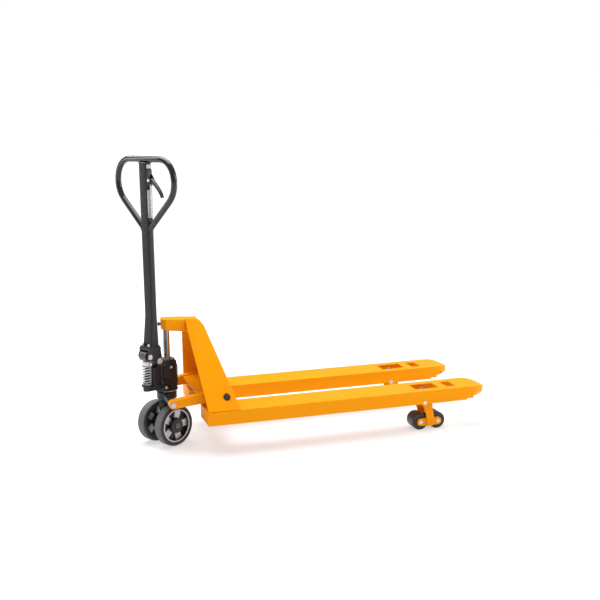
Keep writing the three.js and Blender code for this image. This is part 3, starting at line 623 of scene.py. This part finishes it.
def handle_fittings():
    lever_blade()
    # painted highlight: two thin pale plates on the tube's right face, above and below the lever, stand
    # in for reflected light
    corners = [steered(x, -24.3, z) for x, z in ((-91, 797), (-65, 797), (-65, 912), (-91, 912))]
    bar("painted_highlight_lower", corners, -ASIDE * 1.6 * MM, "handle", PAINTED_SHEEN, "zinc", 0.4)
    patch = [steered(x, -24.3, z) for x, z in ((-90, 1000), (-66, 1000), (-66, 1016), (-90, 1016))]
    bar("painted_highlight_upper", patch, -ASIDE * 1.2 * MM, "handle", PAINTED_SHEEN, "zinc", 0.4)
    collar = [(-93, -24), (-63, -24), (-63, 24), (-93, 24), (-93, -24)]
    bead("weld_tube_top", [steered(x, y, 1023.6) for x, y in collar], 2.0, "handle", BLACK, "black_paint")
    for side, s in SIDES:
        foot = []
        for step in range(17):
            a = 2 * math.pi * step / 16
            foot.append(steered(TUBE_X + 13.4 * math.sin(a), s * 25, 755.0 + 18.6 * math.cos(a)))
        bead("weld_loop_foot_" + side, foot, 2.2, "handle", BLACK, "black_paint")
        washer("pivot_washer_" + side, steered(-66, s * 33.1, 186), ASIDE * s,
               7.4, 13.5, 0.8, "handle", ZINC, "zinc")
        washer("press_washer_" + side, steered(-117, s * 33.1, 211.5), ASIDE * s,
               6.4, 11.5, 0.8, "handle", ZINC, "zinc")


# ---- floor, light and camera ----
def area_light(name, spot, aim, size, power):
    lamp = bpy.data.lights.new(name, "AREA")
    lamp.shape = "RECTANGLE"
    lamp.size, lamp.size_y = size
    lamp.energy = power
    held = bpy.data.objects.new(name, lamp)
    held.location = spot
    held.rotation_euler = (Vector(aim) - Vector(spot)).to_track_quat("-Z", "Y").to_euler()
    bpy.context.scene.collection.objects.link(held)


def studio():
    """A pale floor that glows, painted light that is weaker near the truck and turns the floor white away
    from it, and soft lights.
    """
    material, shader, place = start_finish("pale_floor", roughness=0.9, metallic=0.0)
    cloud = noise(place, 1.5, 2.0)
    feed(shader, "Base Color", between(cloud, (0.46, 0.46, 0.46), (0.50, 0.50, 0.50)))
    away = place.node("VectorMath", {"operation": "LENGTH"}, {0: place}, out="Value")
    # painted light: the floor's own glow, weaker near the truck and stronger away from it
    glow = ramp(away * 0.1, (0.09, 0.0), (0.34, 1.0))
    feed(shader, "Emission Color", between(glow, (0.52, 0.52, 0.52), (0.86, 0.86, 0.86)))
    shader.inputs["Emission Strength"].default_value = 1.0
    mesh = bpy.data.meshes.new("floor")
    reach = 40
    corners = [(-reach, -reach, 0), (reach, -reach, 0), (reach, reach, 0), (-reach, reach, 0)]
    mesh.from_pydata(corners, [], [(0, 1, 2, 3)])
    mesh.materials.append(material)
    floor = bpy.data.objects.new("floor", mesh)
    bpy.context.scene.collection.objects.link(floor)

    sky()
    bpy.context.scene.view_settings.view_transform = "Standard"
    area_light("key", (2.6, -3.2, 2.4), (-0.1, 0, 0.35), (2.0, 2.0), 34)
    area_light("top", (-0.4, 0.7, 3.7), (0, 0, 0.2), (4.0, 2.6), 165)
    area_light("rear_edge", (-3.4, 1.2, 1.8), (-0.6, 0, 0.6), (0.14, 2.4), 12)
    area_light("strip_over", (-1.9, 2.1, 3.8), (-0.7, 0, 1.1), (0.2, 1.8), 26)
    area_light("right_side", (2.9, -0.75, 1.3), (-0.6, 0, 0.7), (0.9, 2.0), 34)


def sky():
    """White above, with dark bands near the horizon so that bright metal shows its shape."""
    world = bpy.data.worlds.new("studio")
    bpy.context.scene.world = world
    world.use_nodes = True
    tree = world.node_tree
    view = Socket(tree.nodes.new("ShaderNodeTexCoord").outputs["Generated"])
    parts = view.node("SeparateXYZ", None, {"Vector": view})
    x, y, z = (Socket(parts.output.node.outputs[axis]) for axis in "XYZ")
    turn = x.maths("ARCTAN2", y, x)
    bands = ramp(turn.maths("SINE", 5.0 * turn + math.pi, 0.0) * 0.5 + 0.5, (0.30, 0.12), (0.62, 0.95))
    height = ramp(z, (0.15, 0.0), (0.75, 1.0))
    level = bands + height * (0.9 - bands)
    seen = level.node("LightPath", None, None, out="Is Camera Ray")
    background = tree.nodes["Background"]
    background.inputs["Color"].default_value = (1, 1, 1, 1)
    tree.links.new((level * 0.64 * (1 - seen) + seen).output, background.inputs["Strength"])


def camera():
    """Right of the truck, a little above it, looking slightly down."""
    yaw, pitch, roll = math.radians(-17.32), math.radians(10.27), math.radians(-0.84)
    ahead = Vector((-math.sin(yaw) * math.cos(pitch), math.cos(yaw) * math.cos(pitch),
                    -math.sin(pitch)))
    across = Vector((math.cos(yaw), math.sin(yaw), 0))
    upward = across.cross(ahead)
    right = across * math.cos(roll) + upward * math.sin(roll)
    top = upward * math.cos(roll) - across * math.sin(roll)
    lens = bpy.data.cameras.new("camera")
    lens.lens = 61.65
    lens.sensor_width = 36
    held = bpy.data.objects.new("camera", lens)
    turn = Matrix((right, top, -ahead)).transposed().to_4x4()
    held.matrix_world = Matrix.Translation(truck(-990, -4300, 1211.7)) @ turn
    bpy.context.scene.collection.objects.link(held)
    bpy.context.scene.camera = held


finish_nodes()
chassis_welds()
chassis_fittings()
rocker_welds()
running_gear()
pump_fittings()
wheel_fittings()
handle_fittings()
studio()
camera()
